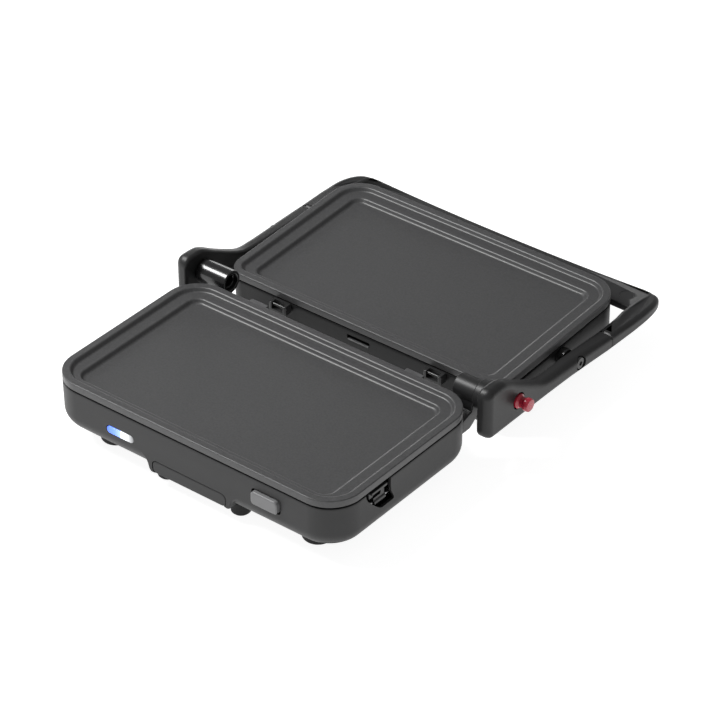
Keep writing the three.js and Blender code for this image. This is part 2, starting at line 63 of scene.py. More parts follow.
def surface(name, dark, light, rough, grain=1100.0, bump=0.12, dist=0.00015, metallic=0.0, spec=0.5,
            coat=0.0, wear=0.0, flecks=0.0, blotch=18.0, coat_rough=0.08, scratches=0.0):
    m, nt, b = new_mat(name)
    n, l = nt.nodes, nt.links
    tc = n.new("ShaderNodeTexCoord")
    fine = n.new("ShaderNodeTexNoise"); fine.inputs["Scale"].default_value = grain
    fine.inputs["Detail"].default_value = 3.0; fine.inputs["Roughness"].default_value = 0.6
    big = n.new("ShaderNodeTexNoise"); big.inputs["Scale"].default_value = blotch
    big.inputs["Detail"].default_value = 4.0
    l.new(tc.outputs["Object"], fine.inputs["Vector"]); l.new(tc.outputs["Object"], big.inputs["Vector"])
    ramp = n.new("ShaderNodeValToRGB")
    ramp.color_ramp.elements[0].position = 0.3; ramp.color_ramp.elements[0].color = (*dark, 1)
    ramp.color_ramp.elements[1].position = 0.7; ramp.color_ramp.elements[1].color = (*light, 1)
    l.new(big.outputs["Fac"], ramp.inputs["Fac"])
    col = ramp.outputs["Color"]
    if flecks:
        fl = n.new("ShaderNodeTexNoise"); fl.inputs["Scale"].default_value = 2600.0; fl.inputs["Detail"].default_value = 1.0
        l.new(tc.outputs["Object"], fl.inputs["Vector"])
        fr = n.new("ShaderNodeMapRange"); fr.inputs["From Min"].default_value = 0.62; fr.inputs["From Max"].default_value = 0.74
        fr.inputs["To Max"].default_value = flecks
        l.new(fl.outputs["Fac"], fr.inputs["Value"])
        mx = n.new("ShaderNodeMixRGB"); mx.inputs["Color2"].default_value = (0.3, 0.3, 0.31, 1)
        l.new(fr.outputs["Result"], mx.inputs["Fac"]); l.new(col, mx.inputs["Color1"])
        col = mx.outputs["Color"]
    if wear:
        geo = n.new("ShaderNodeNewGeometry")
        wr = n.new("ShaderNodeMapRange"); wr.inputs["From Min"].default_value = 0.53; wr.inputs["From Max"].default_value = 0.62
        wr.inputs["To Max"].default_value = wear
        l.new(geo.outputs["Pointiness"], wr.inputs["Value"])
        mw = n.new("ShaderNodeMixRGB"); mw.inputs["Color2"].default_value = (min(1, light[0] * 2.4), min(1, light[1] * 2.4), min(1, light[2] * 2.4), 1)
        l.new(wr.outputs["Result"], mw.inputs["Fac"]); l.new(col, mw.inputs["Color1"])
        col = mw.outputs["Color"]
    l.new(col, b.inputs["Base Color"])
    rr = n.new("ShaderNodeMapRange"); rr.inputs["From Min"].default_value = 0.3; rr.inputs["From Max"].default_value = 0.7
    rr.inputs["To Min"].default_value = rough[0]; rr.inputs["To Max"].default_value = rough[1]
    mixn = n.new("ShaderNodeMath"); mixn.operation = "ADD"
    half = n.new("ShaderNodeMath"); half.operation = "MULTIPLY"; half.inputs[1].default_value = 0.4
    half2 = n.new("ShaderNodeMath"); half2.operation = "MULTIPLY"; half2.inputs[1].default_value = 0.6
    l.new(fine.outputs["Fac"], half.inputs[0]); l.new(big.outputs["Fac"], half2.inputs[0])
    l.new(half.outputs[0], mixn.inputs[0]); l.new(half2.outputs[0], mixn.inputs[1])
    l.new(mixn.outputs[0], rr.inputs["Value"]); l.new(rr.outputs["Result"], b.inputs["Roughness"])
    bp = n.new("ShaderNodeBump"); bp.inputs["Strength"].default_value = bump; bp.inputs["Distance"].default_value = dist
    l.new(fine.outputs["Fac"], bp.inputs["Height"]); l.new(bp.outputs["Normal"], b.inputs["Normal"])
    b.inputs["Metallic"].default_value = metallic
    b.inputs["Specular IOR Level"].default_value = spec
    b.inputs["Coat Weight"].default_value = coat
    b.inputs["Coat Roughness"].default_value = coat_rough
    return m


def glow(name, colour, strength, rough=0.15):
    m, nt, b = new_mat(name)
    n, l = nt.nodes, nt.links
    tc = n.new("ShaderNodeTexCoord")
    no = n.new("ShaderNodeTexNoise"); no.inputs["Scale"].default_value = 260.0
    l.new(tc.outputs["Object"], no.inputs["Vector"])
    ramp = n.new("ShaderNodeValToRGB")
    ramp.color_ramp.elements[0].color = (*[c * 0.75 for c in colour], 1); ramp.color_ramp.elements[1].color = (*colour, 1)
    ramp.color_ramp.elements[0].position = 0.3; ramp.color_ramp.elements[1].position = 0.65
    l.new(no.outputs["Fac"], ramp.inputs["Fac"])
    l.new(ramp.outputs["Color"], b.inputs["Base Color"]); l.new(ramp.outputs["Color"], b.inputs["Emission Color"])
    b.inputs["Emission Strength"].default_value = strength
    b.inputs["Roughness"].default_value = rough
    return m


def g(v):
    return (v, v, v * 1.02)


HOUSING = surface("housing_plastic", g(0.017), g(0.022), (0.42, 0.54), grain=1300, bump=0.18, dist=0.0001, spec=0.38, wear=0.12)
# lid plastic is darker and less specular than the base housing plastic: painted shade for the dark gap under the upper
# plate's rim, used on the lid housing and the lid cover
LID_PLASTIC_PAINTED_SHADE = surface("lid_plastic_painted_shade", g(0.009), g(0.012), (0.42, 0.54), grain=1300, bump=0.18, dist=0.0001, spec=0.26, wear=0.12)
ARM = surface("arm_plastic", g(0.016), g(0.021), (0.36, 0.48), grain=1500, bump=0.10, dist=0.0001, spec=0.36, wear=0.10)
PLATE = surface("nonstick_coating", g(0.043), g(0.060), (0.35, 0.45), grain=900, bump=0.22, dist=0.00010, metallic=0.0, spec=0.5, wear=0.10, flecks=0.08, blotch=620)
GLOSS = surface("gloss_black", g(0.008), g(0.011), (0.16, 0.24), grain=900, bump=0.03, dist=0.00005, spec=0.55, coat=0.15, coat_rough=0.15)
TAB = surface("catch_grey", g(0.060), g(0.075), (0.30, 0.42), grain=1300, bump=0.10, dist=0.0001, spec=0.5, wear=0.1)
TRIM = surface("trim_black", g(0.016), g(0.021), (0.25, 0.36), grain=1200, bump=0.08, dist=0.0001, spec=0.5)
RUBBER = surface("foot_rubber", g(0.010), g(0.014), (0.62, 0.78), grain=900, bump=0.25, dist=0.0002, spec=0.3)
BUTTON = surface("button_grey", g(0.150), g(0.165), (0.36, 0.46), grain=1500, bump=0.08, dist=0.0001, spec=0.5, wear=0.15)
RED = surface("release_red", (0.36, 0.012, 0.030), (0.44, 0.016, 0.042), (0.22, 0.32), grain=900, bump=0.05, dist=0.0001, spec=0.5, coat=0.3, wear=0.15)
STEEL = surface("plain_steel", g(0.42), g(0.55), (0.22, 0.36), grain=1600, bump=0.08, dist=0.00008, metallic=1.0)
PAN = surface("reflector_sheet", g(0.55), g(0.66), (0.16, 0.30), grain=500, bump=0.10, dist=0.0002, metallic=1.0, blotch=12)
CERAMIC = surface("ceramic", (0.60, 0.55, 0.45), (0.70, 0.65, 0.55), (0.60, 0.75), grain=900, bump=0.2, dist=0.0002)
BOARD = surface("circuit_board", (0.015, 0.09, 0.03), (0.02, 0.13, 0.045), (0.30, 0.45), grain=600, bump=0.1, dist=0.0001)
# near-black plastic, also used as painted shade lining the side pocket recess
BLACK_AND_POCKET_SHADE = surface("black_and_pocket_shade", g(0.010), g(0.014), (0.45, 0.60), grain=1300, bump=0.1, dist=0.0001, spec=0.3)


def lamp(name, stops):
    """lit window whose colour runs along x: (x in working mm, colour)"""
    m, nt, b = new_mat(name)
    n, l = nt.nodes, nt.links
    tc = n.new("ShaderNodeTexCoord"); sp = n.new("ShaderNodeSeparateXYZ"); l.new(tc.outputs["Object"], sp.inputs[0])
    x0, x1 = (stops[0][0] - OX) / 1000, (stops[-1][0] - OX) / 1000
    mr = n.new("ShaderNodeMapRange"); mr.inputs["From Min"].default_value = x0; mr.inputs["From Max"].default_value = x1
    l.new(sp.outputs["X"], mr.inputs["Value"])
    ramp = n.new("ShaderNodeValToRGB"); l.new(mr.outputs["Result"], ramp.inputs["Fac"])
    el = ramp.color_ramp.elements
    while len(el) < len(stops): el.new(0.5)
    for e, (x, c) in zip(el, stops):
        e.position = (x - stops[0][0]) / (stops[-1][0] - stops[0][0]); e.color = (*c, 1)
    l.new(ramp.outputs["Color"], b.inputs["Base Color"]); l.new(ramp.outputs["Color"], b.inputs["Emission Color"])
    b.inputs["Emission Strength"].default_value = 0.9
    b.inputs["Roughness"].default_value = 0.22
    return m


LENS_BLUE = lamp("lens_blue", [(-86.0, (0.05, 0.13, 0.70)), (-83.0, (0.09, 0.20, 0.95)), (-77.0, (0.14, 0.27, 1.0)), (-72.0, (0.30, 0.44, 1.0))])
LENS_WHITE = lamp("lens_white", [(-71.6, (0.80, 0.86, 1.0)), (-66.0, (0.88, 0.90, 0.93)), (-62.0, (0.40, 0.41, 0.42)), (-57.6, (0.14, 0.14, 0.145))])


# ------------------------------------------------------------ mesh helpers
def shade(ob, angle=40):
    me = ob.data
    me.shade_smooth()
    me.set_sharp_from_angle(angle=math.radians(angle))
    if not any(md.type == "WEIGHTED_NORMAL" for md in ob.modifiers):
        md = ob.modifiers.new("weighted", "WEIGHTED_NORMAL"); md.keep_sharp = True; md.weight = 80
    return ob


def raw(name, verts, faces, xf=W):
    me = bpy.data.meshes.new(name)
    me.from_pydata([xf(v) for v in verts], [], faces)
    me.update()
    bm = bmesh.new(); bm.from_mesh(me)
    bmesh.ops.remove_doubles(bm, verts=bm.verts, dist=1e-7)
    bmesh.ops.recalc_face_normals(bm, faces=bm.faces)
    bm.to_mesh(me); bm.free()
    ob = bpy.data.objects.new(name, me)
    scene.collection.objects.link(ob)
    return ob


def finish_piece(ob, body, mat, *nodes, angle=40):
    ob.data.materials.clear(); ob.data.materials.append(mat)
    shade(ob, angle)
    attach(ob, body)
    if nodes:
        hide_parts(*nodes)
    return ob


def loft(rings, cap0=True, cap1=True, closed=False):
    """rings: list of equal-length lists of points; quads between them, n-gons at the ends."""
    n = len(rings[0]); V = [p for r in rings for p in r]; F = []
    R = len(rings)
    for k in range(R if closed else R - 1):
        a, b = k * n, ((k + 1) % R) * n
        for i in range(n):
            j = (i + 1) % n
            F.append((a + i, a + j, b + j, b + i))
    if not closed:
        if cap0: F.append(tuple(range(n - 1, -1, -1)))
        if cap1: F.append(tuple((R - 1) * n + i for i in range(n)))
    return V, F


def rrect(w, d, r0, cx=0.0, cy=0.0, n=14, near=None):
    x, y = w / 2, d / 2
    r0 = max(0.02, min(r0, x - 0.01, y - 0.01))
    near = r0 if near is None else max(0.02, min(near, x - 0.01, y - 0.01))
    out = []
    for sx, sy, a0 in ((1, 1, 0), (-1, 1, 90), (-1, -1, 180), (1, -1, 270)):
        r = r0 if sy > 0 else near
        for k in range(n + 1):
            a = math.radians(a0 + 90 * k / n)
            out.append((cx + sx * (x - r) + r * math.cos(a), cy + sy * (y - r) + r * math.sin(a)))
    return out


def offset(pts, d):
    """moves each point of a closed CCW outline inwards by d"""
    P = np.array(pts, float); out = []
    n = len(P)
    for i in range(n):
        a, b, c = P[i - 1], P[i], P[(i + 1) % n]
        u, v = b - a, c - b
        lu, lv = np.hypot(*u), np.hypot(*v)
        if lu < 1e-9: u, lu = v, lv
        if lv < 1e-9: v, lv = u, lu
        nu = np.array((-u[1], u[0])) / lu; nv = np.array((-v[1], v[0])) / lv
        m = nu + nv; m /= max(1e-6, np.hypot(*m))
        k = d / max(0.35, float(m @ nu))
        out.append(tuple(b + m * k))
    return out


AX = {"z": lambda a, b, t: (a, b, t), "y": lambda a, b, t: (a, t, b), "x": lambda a, b, t: (t, a, b)}


def slab(outline, t0, t1, axis="z", r0=0.0, r1=0.0, seg=5):
    """closed outline carried along an axis, with its end edges rounded by r0 and r1"""
    rings = []
    f = AX[axis]
    if r0 > 0:
        for k in range(seg + 1):
            a = math.pi / 2 * k / seg
            rings.append([f(p[0], p[1], t0 + r0 * (1 - math.sin(a))) for p in offset(outline, r0 * (1 - math.cos(a)))])
        rings = rings[::-1]
    else:
        rings.append([f(p[0], p[1], t0) for p in outline])
    if r1 > 0:
        for k in range(seg + 1):
            a = math.pi / 2 * k / seg
            rings.append([f(p[0], p[1], t1 - r1 * (1 - math.sin(a))) for p in offset(outline, r1 * (1 - math.cos(a)))])
    else:
        rings.append([f(p[0], p[1], t1) for p in outline])
    return loft(rings)


def lathe(profile, axis, at, seg=48):
    """profile: (radius, height) points; closed on the axis or on itself"""
    closed = profile[0] == profile[-1] and profile[0][0] > 0
    prof = profile[:-1] if closed else profile
    V, F = [], []
    idx = []
    for r, h in prof:
        row = []
        if r < 1e-6:
            row = [len(V)] * seg; V.append((0, 0, h))
        else:
            for k in range(seg):
                a = 2 * math.pi * k / seg
                row.append(len(V)); V.append((r * math.cos(a), r * math.sin(a), h))
        idx.append(row)
    m = len(prof)
    for i in range(m if closed else m - 1):
        a, b = idx[i], idx[(i + 1) % m]
        for k in range(seg):
            q = (k + 1) % seg
            f = [a[k], a[q], b[q], b[k]]
            f = [v for j, v in enumerate(f) if v not in f[:j]]
            if len(f) > 2: F.append(tuple(f))
    def place(p):
        if axis == "z": q = p
        elif axis == "x": q = (p[2], p[0], p[1])
        else: q = (p[1], p[2], p[0])
        return (q[0] + at[0], q[1] + at[1], q[2] + at[2])
    return [place(p) for p in V], F


def fillet(profile, r, seg=4):
    """rounds the inner corners of an open profile by r (clamped to the segment lengths)"""
    out = [profile[0]]
    for i in range(1, len(profile) - 1):
        a, b, c = (np.array(profile[i - 1], float), np.array(profile[i], float), np.array(profile[i + 1], float))
        u, v = a - b, c - b
        lu, lv = np.hypot(*u), np.hypot(*v)
        if lu < 1e-6 or lv < 1e-6: continue
        u, v = u / lu, v / lv
        ang = math.acos(max(-1, min(1, float(u @ v))))
        if ang > math.pi - 0.05: out.append(tuple(b)); continue
        t = min(r / math.tan(ang / 2), lu * 0.45, lv * 0.45)
        rr = t * math.tan(ang / 2)
        mid = (u + v) / np.hypot(*(u + v)); cen = b + mid * rr / math.sin(ang / 2)
        p0, p1 = b + u * t, b + v * t
        a0 = math.atan2(*(p0 - cen)[::-1]); a1 = math.atan2(*(p1 - cen)[::-1])
        da = (a1 - a0 + math.pi) % (2 * math.pi) - math.pi
        for k in range(seg + 1):
            an = a0 + da * k / seg
            out.append((float(cen[0] + rr * math.cos(an)), float(cen[1] + rr * math.sin(an))))
    out.append(profile[-1])
    return out


def boolean(ob, cutters, op="DIFFERENCE"):
    for c in cutters:
        md = ob.modifiers.new("b", "BOOLEAN"); md.operation = op; md.object = c; md.solver = "EXACT"
    dg = bpy.context.evaluated_depsgraph_get()
    me = bpy.data.meshes.new_from_object(ob.evaluated_get(dg))
    ob.modifiers.clear(); old = ob.data; ob.data = me; bpy.data.meshes.remove(old)
    for c in cutters:
        cm = c.data; bpy.data.objects.remove(c); bpy.data.meshes.remove(cm)
    return ob


def join_parts(name, parts, xf=W):
    """several separate closed shells as one mesh object"""
    V, F = [], []
    for v, f in parts:
        k = len(V); V += list(v); F += [tuple(i + k for i in q) for q in f]
    return raw(name, V, F, xf)


def bbox_slab(x0, x1, y0, y1, z0, z1, r=0.5, axis="z", e=None, n=5, seg=4):
    """box with rounded corners (r) in the plane across axis and rounded end edges (e)"""
    e = r if e is None else e
    if axis == "z": return slab(rrect(x1 - x0, y1 - y0, r, (x0 + x1) / 2, (y0 + y1) / 2, n), z0, z1, "z", e, e, seg)
    if axis == "y": return slab(rrect(x1 - x0, z1 - z0, r, (x0 + x1) / 2, (z0 + z1) / 2, n), y0, y1, "y", e, e, seg)
    return slab(rrect(y1 - y0, z1 - z0, r, (y0 + y1) / 2, (z0 + z1) / 2, n), x0, x1, "x", e, e, seg)


def mirror(vf):
    v, f = vf
    return [(-p[0], p[1], p[2]) for p in v], [tuple(reversed(q)) for q in f]


def side(vf, s):
    return mirror(vf) if s < 0 else vf


def smooth_curve(xs, ys, x):
    """monotone cubic through the points"""
    xs, ys = np.array(xs, float), np.array(ys, float)
    h = np.diff(xs); dl = np.diff(ys) / h
    m = np.zeros(len(xs)); m[0], m[-1] = dl[0], dl[-1]
    for i in range(1, len(xs) - 1):
        if dl[i - 1] * dl[i] > 0:
            w1, w2 = 2 * h[i] + h[i - 1], h[i] + 2 * h[i - 1]
            m[i] = (w1 + w2) / (w1 / dl[i - 1] + w2 / dl[i])
    i = int(np.clip(np.searchsorted(xs, x) - 1, 0, len(h) - 1))
    t = (x - xs[i]) / h[i]; t = min(1.0, max(0.0, t))
    return float((2 * t**3 - 3 * t**2 + 1) * ys[i] + (t**3 - 2 * t**2 + t) * h[i] * m[i] + (-2 * t**3 + 3 * t**2) * ys[i + 1] + (t**3 - t**2) * h[i] * m[i + 1])


def bez(p, t):
    p = [np.array(q, float) for q in p]
    while len(p) > 1:
        p = [(1 - t) * a + t * b for a, b in zip(p[:-1], p[1:])]
    return p[0]


# ------------------------------------------------------------------ plates
PLATE_W, PLATE_D, PLATE_R, BC = 300.0, 181.6, 30.0, 90.8
LW, LD, LR, LK = PLATE_W * 0.968, PLATE_D * 0.968, PLATE_R * 0.968, 0.968


LID_RN = 17.0


def fillets(profile, radii, seg=5):
    """rounds each inner corner of an open profile by its own radius"""
    out = [profile[0]]
    for i in range(1, len(profile) - 1):
        if radii[i - 1] <= 0: out.append(profile[i]); continue
        out += fillet([profile[i - 1], profile[i], profile[i + 1]], radii[i - 1], seg)[1:-1]
    out.append(profile[-1])
    return out


def plate(name, w, d, r, cy, xf, body, node, near=None):
    near = r if near is None else near
    prof = [(60, -4.2), (13.4, -4.2), (13.0, -3.8), (13.0, 0.2), (12.6, 0.7), (1.2, 0.7), (0.35, 0.9), (0.0, 1.5), (0.0, 4.3)]
    prof[-1] = (0.0, 6.6)
    for k in range(1, 9):                        # rolled outer edge
        a = math.pi / 2 * k / 8
        prof.append((0.9 - 0.9 * math.cos(a), 6.6 + 0.9 * math.sin(a)))
    prof += fillets([(0.95, 7.5), (6.6, 7.5), (9.0, 4.0), (19.0, 4.0), (21.4, 0.4), (30.0, 0.4)], (2.0, 2.3, 2.1, 2.9), 7) + [(60, 0.4)]
    rings = []
    m = 0
    for ins, z in prof:
        m += 1
        sh = 0.0
        if m > 10 and ins > 9.0:                 # the ledge is narrower along the near side
            sh = 0.4 + 5.4 * min(1.0, (ins - 9.0) / 9.0) + 0.9 * min(1.0, max(0.0, (ins - 18.0) / 5.5))
        rr = max(r - ins, 9.5 if ins < 40 else 14)
        rn = max(near - ins, 9.5 if ins < 40 else 14) if near >= r else (near - ins if ins < near - 10 else max(7.5, 11 - 0.2 * ins))
        rings.append([(px, py, z) for px, py in rrect(w - 2 * ins, d - 2 * ins + sh, rr, 0, cy - sh / 2, 20, rn)])
    v, f = loft(rings)
    ob = raw(name, v, f, xf)
    return finish_piece(ob, body, PLATE, node, angle=60)


plate("lower_plate_surface", PLATE_W, PLATE_D, PLATE_R, BC, W, "lower_plate", "lower_grill_plate")
plate("upper_plate_surface", LW, LD, LR, 0.0, L, "upper_plate", "upper_grill_plate", LID_RN)


# ---------------------------------------------------------------- housings
def tub_rings(w, d, r, depth, edge, cy, wall=2.6, n=18, near=None):
    rings = []
    near = r if near is None else near
    def ring(ins, z, rr): rings.append([(px, py, z) for px, py in rrect(w - 2 * ins, d - 2 * ins, max(rr, 4), 0, cy, n, max(rr + near - r, 3))])
    inner_bottom = -depth + wall
    ring(wall + edge, inner_bottom, r - wall - 8)
    for k in range(1, 9):
        a = math.pi / 2 * k / 8
        e = edge - wall
        ring(wall + e - e * math.sin(a), inner_bottom + e - e * math.cos(a), r - wall - (e - e * math.sin(a)) * 0.7)
    ring(wall, -1.0, r - wall); ring(wall - 0.4, -0.5, r - wall)
    ring(0.9, -0.5, r - 0.9); ring(0.35, -0.65, r - 0.35); ring(0.08, -1.1, r)
    ring(0.0, -2.2, r)
    z0 = -depth + edge
    ring(0.25, z0 + 6, r)
    for k in range(0, 13):
        a = math.pi / 2 * k / 12
        ring(0.25 + edge - edge * math.cos(a), z0 - edge * math.sin(a), r - (edge - edge * math.cos(a)) * 0.7)
    ring(edge + 12, -depth, r - edge)
    return rings


def cut(name, parts, xf=W):
    return join_parts(name, parts, xf)


base = raw("base_housing", *loft(tub_rings(PLATE_W, PLATE_D, PLATE_R, 42.0, 16.0, BC)))
# nose round the drip tray
nose_pts = [(62, -24.0), (62, -26.0)] + [tuple(bez([(62, -26.0), (46.5, -27.6), (43.6, -37.0)], t)) for t in np.linspace(0.06, 1, 16)]
nose_pts += [tuple(bez([(43.6, -37.0), (42.6, -43.4), (38.6, -43.4)], t)) for t in np.linspace(0.1, 1, 10)] + [(36.6, -43.0), (35.6, -42.7)]
nose_pts = nose_pts[::-1]
nose_pts = [(-px, pz) for px, pz in reversed(nose_pts)] + nose_pts
nose = cut("nose", [slab(nose_pts, 0.27, 131, "y", 1.6, 2.0, 6)])
boolean(base, [nose], "UNION")
keep_in = cut("inner_clear", [slab(rrect(PLATE_W - 6, PLATE_D - 6, 26, 0, BC), -39.4 + 0.02, 4, "z", 8.0, 0, 6)])
boolean(base, [keep_in])
pocket = [(37.2, 1.5), (37.4, -3.4), (39.6, -7.4), (45.4, -13.6), (51.4, -19.4), (55.0, -22.2), (57.8, -23.2), (71.0, -23.0), (72.3, -22.4), (72.3, -20.6), (69.0, -14.2), (68.0, -8.0), (68.0, 1.5)][::-1]
cutters = [
    slab(rrect(29.7, 7.8, 3.85, -72.0, -20.4, 8), -3, 9, "y"),
    slab(rrect(29.4, 14.6, 3.4, 80.0, -16.3, 8), -3, 9, "y"),
    slab(rrect(77.4, 12.9, 4.9, 0, -36.45, 8), -3, 4.9, "y"),
    slab(rrect(77.0, 11.0, 2.0, 0, -36.0, 6), 3, 127, "y"),
    slab(pocket, 139.0, 154, "x"),
    slab(rrect(60, 80, 8, -80, BC, 8), -46, -37, "z"),
    slab(rrect(60, 80, 8, 80, BC, 8), -46, -37, "z"),
    lathe([(0, -8), (6.5, -8), (6.5, 8), (0, 8)], "y", (-60, PLATE_D, -22), 40),
]
boolean(base, [cut(f"c{i}", [c]) for i, c in enumerate(cutters)])
finish_piece(base, "base", HOUSING, "base_shell", angle=38)

# short feet beside the tray
for tag, s in (("left", -1), ("right", 1)):
    tf = fillet([(0, -56.1), (6.6, -56.1), (8.4, -54.2), (8.8, -43.4), (7.8, -42.7), (0, -42.7)], 1.2, 5)
    tf = raw(f"tray_side_foot_{tag}", *lathe(tf, "z", (s * 38.5, 18.5, 0), 56))
    finish_piece(tf, "base", RUBBER, f"foot_tray_{tag}", angle=50)

# near-black sheet lining the storage latch's side pocket: painted shade in the recess
pk = slab([q for q in offset(pocket, 0.05)], 138.6, 149.1, "x")
pocket_shade = raw("side_pocket_painted_shade", *pk)
boolean(pocket_shade, [cut("pkc", [slab([(a, b + (3 if b > 0 else 0)) for a, b in offset(pocket, 0.9)], 140.6, 160, "x")])])
finish_piece(pocket_shade, "base", BLACK_AND_POCKET_SHADE)

lid = raw("lid_housing", *loft(tub_rings(LW, LD, LR, 44.0, 16.0, 0.0, near=LID_RN)), xf=L)
PIVOT_Y = 303.0
pivot_v = (PIVOT_Y - 306) * CT + (-14 + 5.4) * ST
pivot_w = -(PIVOT_Y - 306) * ST + (-14 + 5.4) * CT
lid_cut = [
    slab(rrect(29.0, 14.2, 3.2, 80.0, -16.3, 8), LD / 2 - 8, LD / 2 + 3, "y"),
    slab(rrect(196, 100, 14, 0, 0, 8), -48, -39, "z"),
    slab(rrect(24.0, 4.0, 1.4, -1.5, -7.4, 6), -LD / 2 - 3, -LD / 2 + 8, "y"),
    lathe([(0, 120), (3.9, 120), (3.9, 160), (0, 160)], "x", (0, pivot_v, pivot_w), 32),
    lathe([(0, -160), (3.9, -160), (3.9, -120), (0, -120)], "x", (0, pivot_v, pivot_w), 32),
]
boolean(lid, [cut(f"lc{i}", [c], L) for i, c in enumerate(lid_cut)])
# the lid housing takes the darker plastic: painted shade in the gap below the upper plate
finish_piece(lid, "lid", LID_PLASTIC_PAINTED_SHADE, "lid_shell", angle=38)
# light grey bar under the slot in the lid's front wall: painted highlight along the slot's lower edge
slot_lip_highlight = raw("lid_slot_lip_painted_highlight", *bbox_slab(-12.5, 9.5, -LD / 2 - 0.7, -LD / 2 + 1.5, -10.4, -9.3, 0.5, "z", 0.3), xf=L)
finish_piece(slot_lip_highlight, "lid", TAB)


# ------------------------------------------------------------ arms and grip
def section(o, u, v, a0, a1, b0, b1, radii, n=8):
    """rounded rectangle a0..a1 along u, b0..b1 along v, radii at (a1,b1), (a0,b1), (a0,b0), (a1,b0)"""
    w, h = a1 - a0, b1 - b0
    rs = [min(r, 0.49 * w, 0.49 * h) for r in radii]
    out = []
    for (ca, cb, sa, sb, r, st) in ((a1, b1, -1, -1, rs[0], 0), (a0, b1, 1, -1, rs[1], 90), (a0, b0, 1, 1, rs[2], 180), (a1, b0, -1, 1, rs[3], 270)):
        for k in range(n + 1):
            an = math.radians(st + 90 * k / n)
            a = ca + sa * r + r * math.cos(an); b = cb + sb * r + r * math.sin(an)
            out.append((o[0] + u[0] * a + v[0] * b, o[1] + u[1] * a + v[1] * b, o[2] + u[2] * a + v[2] * b))
    return out


SEAM = 345.5
CATCH_X = 82.0
def arm_limits(y):
    top = smooth_curve([175, 186, 192, 198, 204, 217, 240, 247, 254, 262, 303, 345.5], [24, 24, 23.9, 23.0, 20.4, 12.7, 0.4, -2.9, -5.1, -6.1, -7.0, -9.0], y)
    bot = smooth_curve([175, 200, 303, 345.5], [-22.5, -22.4, -21.9, -21.5], y)
    xo = smooth_curve([175, 240, 303, 345.5], [165.0, 165.0, 166.0, 167.5], y)
    xi = smooth_curve([175, 240, 280, 345.5], [152.5, 152.5, 152.2, 152.0], y)
    if y < 184: top = top - 9 + math.sqrt(max(0, 81 - (184 - y) ** 2))
    if y < 183.5: bot = bot + 8.5 - math.sqrt(max(0, 8.5**2 - (183.5 - y) ** 2))
    if y < 182: xo = xo - 7 + math.sqrt(max(0, 49 - (182 - y) ** 2))
    if y < 177.5: xi = xi + 2.5 - math.sqrt(max(0, 2.5**2 - (177.5 - y) ** 2))
    return xi, xo, bot, top


ys = [175 + 9 * (1 - math.cos(math.pi / 2 * k / 14)) for k in range(15)] + list(np.linspace(185.5, 268, 46)) + list(np.linspace(272, SEAM - 0.5, 16))
def arm_body():
    rings = []
    for y in ys:
        xi, xo, b, t = arm_limits(y)
        q = min(1.0, max(0.0, (y - 290) / 50))
        rings.append(section((0, y, 0), (1, 0, 0), (0, 0, 1), xi, xo, b, t, (6.5 - 1.9 * q, 3.2 + 1.4 * q, 2.8 - 0.2 * q, 5.0 - 2.4 * q)))
    xi, xo, b, t = arm_limits(SEAM)
    e = 0.5
    rings.append(section((0, SEAM, 0), (1, 0, 0), (0, 0, 1), xi + e, xo - e, b + e, t - e, (4.1, 4.1, 2.1, 2.1)))
    return loft(rings)


def arm(name, s, node):
    ob = raw(name, *side(arm_body(), s))
    if s > 0:
        col = cut("col", [lathe([(0, 141.2), (11.6, 141.2), (12.4, 142.0), (12.4, 156), (0, 156)], "x", (0, 196.5, 4.5), 64)])
        boolean(ob, [col], "UNION")
    cs = [side(lathe([(0, 136), (7.5, 136), (7.5, 161.5), (0, 161.5)], "x", (0, 196.5, 4.5), 48), s),
          side(lathe([(0, 138), (3.8, 138), (3.8, 162.4), (6.3, 162.4), (6.3, 175), (0, 175)], "x", (0, PIVOT_Y, -14), 48), s)]
    if s > 0:
        cs.append(lathe([(0, 154.2), (4.6, 154.2), (4.6, 158.9), (7.6, 158.9), (7.6, 175), (0, 175)], "x", (0, 216.5, -3.5), 48))
    boolean(ob, [cut(f"ac{i}", [c]) for i, c in enumerate(cs)])
    return finish_piece(ob, "arms", ARM, node, angle=38)


arm("left_arm_body", -1, "left_arm")
arm("right_arm_body", 1, "right_arm")


def leg_plan():
    """plan outline of one leg of the grip, from the seam round the far outer corner"""
    out = [(152.0, SEAM + 1.1), (152.0, SEAM + 0.45), (167.5, SEAM + 0.45), (167.5, SEAM + 1.1)] + [(167.5 + 1.2 * min(1, (y - SEAM) / 30), y) for y in np.linspace(SEAM + 6, 386, 8)]
    out += [tuple(bez([(168.7, 386), (169.0, 421.5), (160, 429.4), (149.6, 427.8)], t)) for t in np.linspace(0, 1, 30)]
    out += [(149.6, y) for y in (424.0, 418.0, 412.0, 406.0, 400.0, 392.0, 384.0)] + [(151.2, 372.0), (151.8, 360.0)]
    return out


def leg():
    v, f = slab(leg_plan(), -21.5, -9.0, "z", 2.6, 4.6, 9)
    out = []
    for x, y, z in v:
        k = (z + 21.5) / 12.5
        u = max(0.0, (y - SEAM) / (428 - SEAM))
        drop = 1.0 * min(1, u / 0.5) + 4.3 * max(0.0, (u - 0.60) / 0.40) ** 1.5
        if y < SEAM + 0.7: x, z = 159.75 + (x - 159.75) * 0.93, -15.25 + (z + 15.25) * 0.91
        rise = 1.4 * min(1, u / 0.6)
        out.append((x, y, z + rise * (1 - k) - drop * k))
    return out, f


